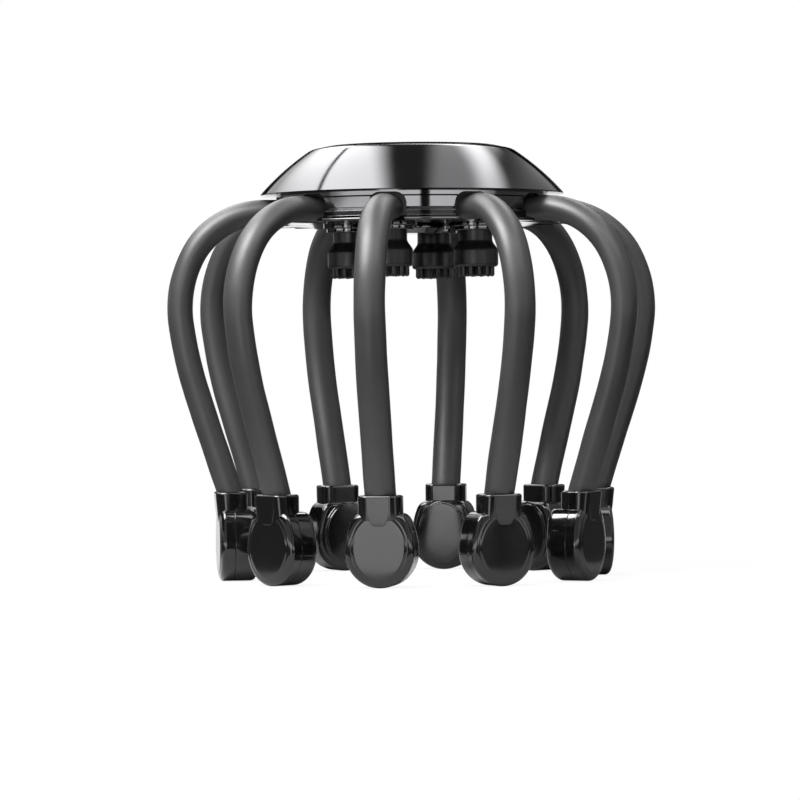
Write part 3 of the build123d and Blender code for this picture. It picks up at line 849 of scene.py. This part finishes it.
def make_ring():
    flank = arc((RING_RADIUS, RING_BOTTOM + 0.3 * MM), (RING_SHOULDER_RADIUS, RING_SHOULDER), -RING_BULGE, 40)
    rise = flank[-1] - flank[-2]
    inner = COVER_RADIUS + 0.05 * MM
    edge = Vector((inner, cover_high.z - 0.9 * MM))
    control = flank[-1] + rise.normalized() * 1.55 * MM
    corner = curved(flank[-1], control, edge, 10)
    foot, foot_round = 0.3 * MM, 0.09 * MM
    ledge, ledge_drop = inner - 2.4 * MM, cover_low.z - 1.5 * MM
    bevel = 0.2 * MM
    profile = [Vector(p) for p in (
        (RING_RADIUS - foot, RING_BOTTOM),
        (RING_RADIUS - foot_round, RING_BOTTOM + foot_round),
    )] + flank + corner + [Vector(p) for p in (
        (inner, cover_low.z),
        (ledge, cover_low.z),
        (ledge, ledge_drop),
        (RING_SHOULDER_RADIUS - 1.0 * MM, ledge_drop),
        (BAND_INNER, RING_BOTTOM + 1.6 * MM),
        (BAND_INNER, ring_low.z),
        (BAND_RADIUS - bevel, ring_low.z),
        (BAND_RADIUS, ring_low.z + bevel),
        (BAND_RADIUS, RING_BOTTOM),
    )]
    ring = cut(lathe("chrome_ring", profile, segments=360), socket_cutters())
    dress(ring, "hub", "dark_chrome", DARK_CHROME, replaces=["trim_ring"])


def make_cover():
    low, high = cover_low.z, cover_high.z
    inner = light_high.x + 0.05 * MM
    profile = rounded([
        (inner, low, 0),
        (COVER_RADIUS, low, 0),
        (COVER_RADIUS, high - 0.9 * MM, 0.25 * MM),
        (31.0 * MM, high, 6.0 * MM),
        (inner + 2.2 * MM, high, 1.2 * MM),
        (inner, high - 0.15 * MM, 0.15 * MM),
        (inner, low, 0),
    ], steps=6)[:-1]
    cover = lathe("flat_cover", profile, segments=240)
    dress(cover, "hub", "gloss_cover", GLOSS_COVER, replaces=["top_cover"])


def make_light_ring():
    """Diffuser with a low flange round its foot."""
    outer, face, inner = light_high.x, 11.6 * MM, 9.2 * MM
    flange_top = light_low.z + 0.8 * MM
    rim = 0.25 * MM
    profile = rounded([
        (inner, light_low.z, 0),
        (outer, light_low.z, 0),
        (outer, flange_top, 0.1 * MM),
        (face, flange_top, 0),
        (face, light_high.z, rim),
        (inner, light_high.z, rim),
        (inner, light_low.z, 0),
    ])[:-1]
    ring = lathe("diffuser_ring", profile, segments=160)
    dress(ring, "hub", "light_diffuser", LIGHT_DIFFUSER, replaces=["light_ring"])


def make_button():
    radius, stem = 8.9 * MM, 2.0 * MM
    top, foot = button_high.z, button_low.z
    skirt = foot + 2.2 * MM
    edge = top - 0.4 * MM
    dome = arc((0, top), (radius - 0.3 * MM, edge + 0.02 * MM), 0.12 * MM, 12)
    profile = [tuple(p) for p in dome] + [
        (radius - 0.1 * MM, edge - 0.06 * MM), (radius, edge - 0.25 * MM),
        (radius, skirt), (stem, skirt), (stem, foot), (0, foot),
    ]
    button = lathe("push_button", profile, segments=120, closed=False)
    dress(button, "power_button", "button_face", BUTTON_FACE, replaces=["power_button"])
    mark = power_mark(top - 0.05 * MM)
    dress(mark, "power_button", "button_face", MARK_PAINT)


def power_mark(height):
    """Broken ring with a bar, inlaid in the button's face."""
    inner, outer = 2.5 * MM, 3.0 * MM
    thick = 0.07 * MM
    gap = math.radians(32)
    sections = []
    for sweep in turns(48, 2 * math.pi - 2 * gap):
        turn = math.pi / 2 + gap + sweep
        reach = Vector((math.cos(turn), math.sin(turn)))
        sections.append([(reach.x * r, reach.y * r, height + z)
                         for r, z in ((inner, 0), (outer, 0), (outer, thick), (inner, thick))])
    half = (outer - inner) / 2
    bar = slab("mark_bar", (-half, 0.4 * MM, height), (half, 3.3 * MM, height + thick))
    return merged("button_mark", [stack("mark_ring", sections), bar])


def make_bezels():
    low = PLATE_BOTTOM - 2.6 * MM
    step = PLATE_BOTTOM - 1.1 * MM
    inner = NECK_RADIUS + 0.3 * MM
    sleeve = inner + 0.9 * MM
    lower_radius = BEZEL_RADIUS - 1.2 * MM
    profile = rounded([
        (inner, PLATE_TOP, 0),
        (inner, low, 0.3 * MM),
        (lower_radius, low, 0.45 * MM),
        (lower_radius, step, 0.12 * MM),
        (BEZEL_RADIUS, step, 0.35 * MM),
        (BEZEL_RADIUS, PLATE_BOTTOM, 0),
        (sleeve, PLATE_BOTTOM, 0),
        (sleeve, PLATE_TOP, 0),
        (inner, PLATE_TOP, 0),
    ])[:-1]
    bezels = [lathe(f"bezel_{number}", profile, 96, on_circle(HEAD_CIRCLE, turn))
              for number, turn in enumerate(HEAD_TURNS)]
    dress(merged("chrome_bezels", bezels), "hub", "dark_chrome", DARK_CHROME, replaces=["head_bezels"])


def make_cap():
    radius, stem = cap_high.x, 3.0 * MM
    profile = rounded([
        (0, cap_low.z, 0),
        (radius - 2.0 * MM, cap_low.z, 0.5 * MM),
        (radius, PLATE_BOTTOM - 1.5 * MM, 0.4 * MM),
        (radius, PLATE_BOTTOM - 0.5 * MM, 0.3 * MM),
        (radius - 1.0 * MM, PLATE_BOTTOM, 0),
        (stem, PLATE_BOTTOM, 0),
        (stem, cap_high.z, 0),
        (0, cap_high.z, 0),
    ])
    cap = lathe("chrome_cap", profile, segments=144, closed=False)
    dress(cap, "hub", "dark_chrome", DARK_CHROME, replaces=["centre_cap"])


# ---- copies on circles by Geometry Nodes: nubs and screws ----
def circle_tree():
    """Geometry Nodes tree that stands copies of a piece on a circle."""
    tree, given, result = new_group("copies_on_circle", "GeometryNodeTree", {
        "Geometry": "Geometry", "Circle Radius": "Float", "Copies": "Int", "Start Turn": "Float",
        "Centre": "Vector", "Material": "Material",
    }, {"Geometry": "Geometry"})
    index = add_node(tree, "GeometryNodeInputIndex")
    share = maths(tree, "DIVIDE", (index, 0), (given, "Copies"))
    turn = maths(tree, "ADD", maths(tree, "MULTIPLY", share, 2 * math.pi), (given, "Start Turn"))
    spoke = add_node(tree, "ShaderNodeCombineXYZ", {
        "X": maths(tree, "COSINE", turn), "Y": maths(tree, "SINE", turn)})
    reach = add_node(tree, "ShaderNodeVectorMath", {0: (spoke, 0), "Scale": (given, "Circle Radius")},
                     operation="SCALE")
    spot = add_node(tree, "ShaderNodeVectorMath", {0: (reach, 0), 1: (given, "Centre")}, operation="ADD")
    facing = add_node(tree, "ShaderNodeCombineXYZ", {"Z": turn})
    points = add_node(tree, "GeometryNodePoints", {"Count": (given, "Copies"), "Position": (spot, 0)})
    copies = add_node(tree, "GeometryNodeInstanceOnPoints", {
        "Points": (points, 0), "Instance": (given, "Geometry"), "Rotation": (facing, 0)})
    return end_tree(tree, (copies, 0), given, result)


ON_CIRCLE = circle_tree()


def nub():
    """One nub, standing down from its root at the origin."""
    root, straight = 0.4 * MM, NUB_LENGTH - NUB_RADIUS
    profile = [(0, root), (NUB_RADIUS, root), (NUB_RADIUS, -straight)]
    for turn in turns(4)[1:]:
        profile.append((NUB_RADIUS * math.cos(turn), -straight - NUB_RADIUS * math.sin(turn)))
    return lathe("nub", profile, segments=14, closed=False, sharp=SOFT_SHARP)


def make_heads():
    low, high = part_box("massage_head_1")
    body_bottom = low.z + NUB_LENGTH
    body_top = body_bottom + 7.0 * MM
    neck_bottom = body_top + 2.9 * MM
    flange_bottom = high.z - 1.6 * MM
    flange_radius = NECK_RADIUS + 1.8 * MM
    drop = 1.2 * MM
    flare = []
    for step in range(9):
        share = step / 8
        ease = share * share * (3 - 2 * share)
        flare.append((BODY_RADIUS + (NECK_RADIUS - BODY_RADIUS) * ease,
                      body_top - drop + (neck_bottom - body_top + drop) * share))
    base = rounded([
        (0, body_bottom, 0),
        (BODY_RADIUS, body_bottom, 1.2 * MM),
        (BODY_RADIUS, body_top, 0),
    ], steps=5)[:-1]
    profile = [tuple(p) for p in base] + flare + [
        (NECK_RADIUS, flange_bottom), (flange_radius, flange_bottom), (flange_radius, high.z), (0, high.z),
    ]
    for number, turn in enumerate(HEAD_TURNS, start=1):
        spot = on_circle(HEAD_CIRCLE, turn)
        parts = [lathe(f"body_{number}", profile, 96, spot, closed=False)]
        for circle, count in NUB_RINGS:
            parts.append(grown(
                nub(), ON_CIRCLE, sharp=SOFT_SHARP, circle_radius=circle, copies=count, start_turn=turn,
                centre=(*spot, body_bottom), material=HEAD_SILICONE,
            ))
        dress(merged(f"nubbed_head_{number}", parts), f"massage_head_{number}", "head_silicone",
              HEAD_SILICONE, replaces=[f"massage_head_{number}"])


def make_screws():
    """Five screws with crossed slots, flush in the plate."""
    face, shank, tip = 0.05 * MM, 1.1 * MM, 6.0 * MM
    profile = rounded([
        (0, face, 0), (SCREW_HEAD_RADIUS, face, 0.3 * MM), (SCREW_HEAD_RADIUS, SCREW_HEAD_HEIGHT, 0),
        (shank, SCREW_HEAD_HEIGHT, 0), (shank, tip, 0), (0, tip, 0),
    ])
    screw = lathe("screw", profile, segments=36, closed=False)
    long, wide, deep = 1.45 * MM, 0.35 * MM, 0.6 * MM
    for half_x, half_y in ((long, wide), (wide, long)):
        cut(screw, slab("slot", (-half_x, -half_y, -MM), (half_x, half_y, deep)))
    screws = grown(screw, ON_CIRCLE, circle_radius=SCREW_CIRCLE, copies=SCREW_COUNT, start_turn=SCREW_START,
                   centre=(0, 0, PLATE_BOTTOM), material=SCREW_STEEL)
    screws.name = "slotted_screws"
    dress(screws, "hub", "screw_steel", SCREW_STEEL, replaces=["housing_screws"])


def dress_inner_nodes():
    """Finishes of the CAD pieces that stay as they are, inside the hub and the claws."""
    finishes = {
        "inner_frame": FRAME_PLASTIC,
        "battery_pack": BATTERY_WRAP,
        "circuit_board": BOARD_LAMINATE,
        "tactile_switch": SWITCH_BODY,
    }
    for claw in range(1, CLAW_COUNT + 1):
        finishes[f"motor_core_{claw:02d}"] = CORE_STEEL
    for node, material in finishes.items():
        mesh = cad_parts[node].data
        mesh.materials.clear()
        mesh.materials.append(material)


# ---- stage, studio and camera ----
def studio_spot(right, forward, up):
    """Place given as seen from the camera: to the right, away from it and up."""
    return (right * math.cos(CAMERA_TURN) - forward * math.sin(CAMERA_TURN),
            right * math.sin(CAMERA_TURN) + forward * math.cos(CAMERA_TURN), up)


TABLE_RADIUS = 0.16
TABLE_MIDDLE = (0.015, -0.01, 0)
TABLE_LIFT = 0.975  # own light of the table where the camera looks
PAINTED_CONTACT_SHADE = 0.10  # painted shade: how much of it is lost next to a pod
CONTACT_REACH = 12 * MM
TABLE_SEEN_TONE = 0.03  # its colour to the camera
TABLE_TONE = 0.55  # its colour to everything else


def make_floor():
    """Round table, lifted to white for the camera, with a soft painted shade where the pods stand."""
    thin = 0.05 * MM
    profile = [(0, -thin), (TABLE_RADIUS, -thin), (TABLE_RADIUS, 0), (0, 0)]
    table = lathe("table_top", profile, 128, studio_spot(*TABLE_MIDDLE)[:2], closed=False)
    material, tree, shader = new_material("table_white")
    seen = (add_node(tree, "ShaderNodeLightPath"), "Is Camera Ray")
    # Painted shade: ambient occlusion darkens the table's own light next to the pods.
    shade = add_node(tree, "ShaderNodeAmbientOcclusion", {"Distance": CONTACT_REACH}, samples=8)
    contact = add_node(tree, "ShaderNodeMapRange", {
        "Value": (shade, "AO"), "To Min": TABLE_LIFT - PAINTED_CONTACT_SHADE, "To Max": TABLE_LIFT})
    tone = add_node(tree, "ShaderNodeMapRange", {
        "Value": seen, "To Min": TABLE_TONE, "To Max": TABLE_SEEN_TONE})
    feed(tree, shader, {
        "Base Color": (tone, "Result"), "Roughness": 0.9, "Specular IOR Level": 0.0,
        "Emission Color": (1, 1, 1, 1),
        "Emission Strength": maths(tree, "MULTIPLY", seen, (contact, "Result"))})
    table.data.materials.append(material)


def make_dark_card():
    """Black card beside the camera that only the gloss sees."""
    left, right, low, high, behind = 0.19, 0.42, -0.5, 1.2, -1.6
    bm = bmesh.new()
    corners = [studio_spot(x, behind, z) for x, z in ((left, low), (right, low), (right, high), (left, high))]
    bm.faces.new([bm.verts.new(corner) for corner in corners])
    card = settle(bm, "dark_card")
    material, tree, shader = new_material("card_black")
    feed(tree, shader, {"Base Color": (0.01, 0.01, 0.01, 1), "Roughness": 0.9})
    card.data.materials.append(material)
    card.visible_camera = card.visible_diffuse = card.visible_shadow = False


def softbox_group():
    """Brightness of a rectangular lamp far away, for a given direction."""
    group, given, result = new_group("softbox", "ShaderNodeTree", {
        "Direction": "Vector", "Facing": "Vector", "Across": "Vector", "Along": "Vector",
        "Middle Across": "Float", "Middle Along": "Float", "Half Across": "Float", "Half Along": "Float",
        "Edge": "Float", "Strength": "Float",
    }, {"Light": "Float"})

    def towards(axis):
        return add_node(group, "ShaderNodeVectorMath", {0: (given, "Direction"), 1: (given, axis)},
                        operation="DOT_PRODUCT"), "Value"

    near_zero = 0.001
    ahead = towards("Facing")
    safe = maths(group, "MAXIMUM", ahead, near_zero)
    light = maths(group, "MULTIPLY", maths(group, "GREATER_THAN", ahead, near_zero), (given, "Strength"))
    for axis in ("Across", "Along"):
        place = maths(group, "DIVIDE", towards(axis), safe)
        off = maths(group, "ABSOLUTE", maths(group, "SUBTRACT", place, (given, f"Middle {axis}")))
        fade = add_node(group, "ShaderNodeMapRange", {
            "Value": maths(group, "SUBTRACT", off, (given, f"Half {axis}")),
            "From Min": maths(group, "MULTIPLY", (given, "Edge"), -1.0), "From Max": (given, "Edge"),
            "To Min": 1.0, "To Max": 0.0}, interpolation_type="SMOOTHSTEP")
        light = maths(group, "MULTIPLY", light, (fade, "Result"))
    feed(group, result, {"Light": light})
    return group


CEILING = ((0, 0, 1), (1, 0, 0), (0, 1, 0))
LEFT_GAP = ((0, 0, 1), (0.887, -0.461, 0), (0.461, 0.887, 0))
RIGHT_LEAN = ((0, 0, 1), (0.950, 0.313, 0), (-0.313, 0.950, 0))
FRONT = ((0, -1, 0), (1, 0, 0), (0, 0, 1))
BACK = ((0, 1, 0), (1, 0, 0), (0, 0, 1))
LEFT = ((-1, 0, 0), (0, 1, 0), (0, 0, 1))
RIGHT = ((1, 0, 0), (0, 1, 0), (0, 0, 1))
# Boxes of light in the gloss: directions, middle, half size, soft edge and brightness; below zero it dims
SOFTBOXES = (
    (CEILING, (-0.8475, 1.37), (0.6525, 1.82), 0.09, 7.0),
    (LEFT_GAP, (-0.775, 0.9), (0.024, 2.6), 0.012, -6.6),
    (LEFT_GAP, (-3.75, 0.9), (2.50, 3.5), 0.70, -6.2),
    (CEILING, (0.33, 0.5), (0.20, 1.2), 0.07, 1.5),
    (RIGHT_LEAN, (0.635, 0.6), (0.115, 1.4), 0.10, 4.8),
    (CEILING, (1.60, 0.9), (0.90, 2.0), 0.15, 0.35),
    (FRONT, (0.15, 0.05), (3.40, 0.045), 0.02, 3.6),
    (FRONT, (0.15, 0.40), (3.40, 0.43), 0.02, 0.6),
    (FRONT, (-0.37, -0.17), (0.17, 0.19), 0.05, 3.3),
    (FRONT, (1.25, -0.28), (0.45, 0.13), 0.05, 1.3),
    (BACK, (0.0, -0.017), (0.60, 0.053), 0.01, 1.0),
    (CEILING, (0.0, -0.75), (1.30, 0.22), 0.08, 6.0),
    (LEFT, (0.45, 0.36), (0.75, 0.28), 0.08, 1.3),
    (RIGHT, (0.0, 0.36), (0.55, 0.28), 0.08, 0.6),
)
STUDIO_DIM = 0.12  # light in the gloss between the boxes
EVEN_LIGHT = 0.10  # light from all round on what isn't glossy


def make_studio():
    """White to the camera; boxes of light and dark in the gloss; an even light for everything else."""
    world = bpy.data.worlds.new("studio")
    bpy.context.scene.world = world
    world.use_nodes = True
    tree = world.node_tree
    tree.nodes.clear()
    place = add_node(tree, "ShaderNodeTexCoord")
    turn = add_node(tree, "ShaderNodeVectorRotate", {"Vector": (place, "Generated"), "Angle": -CAMERA_TURN},
                    rotation_type="Z_AXIS")
    group = softbox_group()
    total = STUDIO_DIM
    for (facing, across, along), middle, half, edge, strength in SOFTBOXES:
        box = add_node(tree, "ShaderNodeGroup", {
            "Direction": (turn, "Vector"), "Facing": facing, "Across": across, "Along": along,
            "Middle Across": middle[0], "Middle Along": middle[1], "Half Across": half[0],
            "Half Along": half[1], "Edge": edge, "Strength": strength}, node_tree=group)
        total = maths(tree, "ADD", (box, "Light"), total)
    path = add_node(tree, "ShaderNodeLightPath")
    even, gloss, white = (
        add_node(tree, "ShaderNodeBackground", {"Color": (1, 1, 1, 1), "Strength": strength})
        for strength in (EVEN_LIGHT, maths(tree, "MAXIMUM", total, 0.0), 1.0))
    shiny = maths(tree, "MAXIMUM", (path, "Is Glossy Ray"), (path, "Is Transmission Ray"))
    unseen = add_node(tree, "ShaderNodeMixShader", {"Fac": shiny, 1: (even, 0), 2: (gloss, 0)})
    whole = add_node(tree, "ShaderNodeMixShader", {
        "Fac": (path, "Is Camera Ray"), 1: (unseen, 0), 2: (white, 0)})
    add_node(tree, "ShaderNodeOutputWorld", {"Surface": (whole, 0)})


LAMP_AIM = Vector((0, 0, 0.08))


def lamp(name, spot, size, power, glossy=False):
    """Soft square lamp that shines at the middle of the massager."""
    data = bpy.data.lights.new(name, "AREA")
    data.size = size
    data.energy = power
    light = placed(name, data)
    light.location = spot
    light.rotation_euler = (LAMP_AIM - Vector(spot)).to_track_quat("-Z", "Y").to_euler()
    light.visible_camera = False
    light.visible_glossy = glossy


def make_lamps():
    lamp("overhead_lamp", studio_spot(-0.54, -0.40, 0.88), size=0.60, power=26.0, glossy=True)
    lamp("front_lamp", studio_spot(-0.10, -0.52, 0.42), size=0.50, power=4.2)


def make_camera():
    data = bpy.data.cameras.new("camera")
    data.lens = CAMERA_LENS
    data.sensor_width = CAMERA_SENSOR
    data.shift_x, data.shift_y = CAMERA_SHIFT
    camera = placed("camera", data)
    camera.location = studio_spot(0, -CAMERA_DISTANCE, CAMERA_HEIGHT)
    aim = Matrix.Rotation(CAMERA_TURN, 4, "Z") @ Matrix.Rotation(math.pi / 2, 4, "X")
    camera.rotation_euler = (aim @ Matrix.Rotation(-CAMERA_ROLL, 4, "Z")).to_euler()
    bpy.context.scene.camera = camera


bpy.context.scene.view_settings.view_transform = "Standard"
make_camera()
make_studio()
make_lamps()
make_floor()
make_dark_card()
make_sleeves()
make_pods()
make_housing()
make_port()
make_ring()
make_cover()
make_light_ring()
make_button()
make_bezels()
make_cap()
make_heads()
make_screws()
dress_inner_nodes()
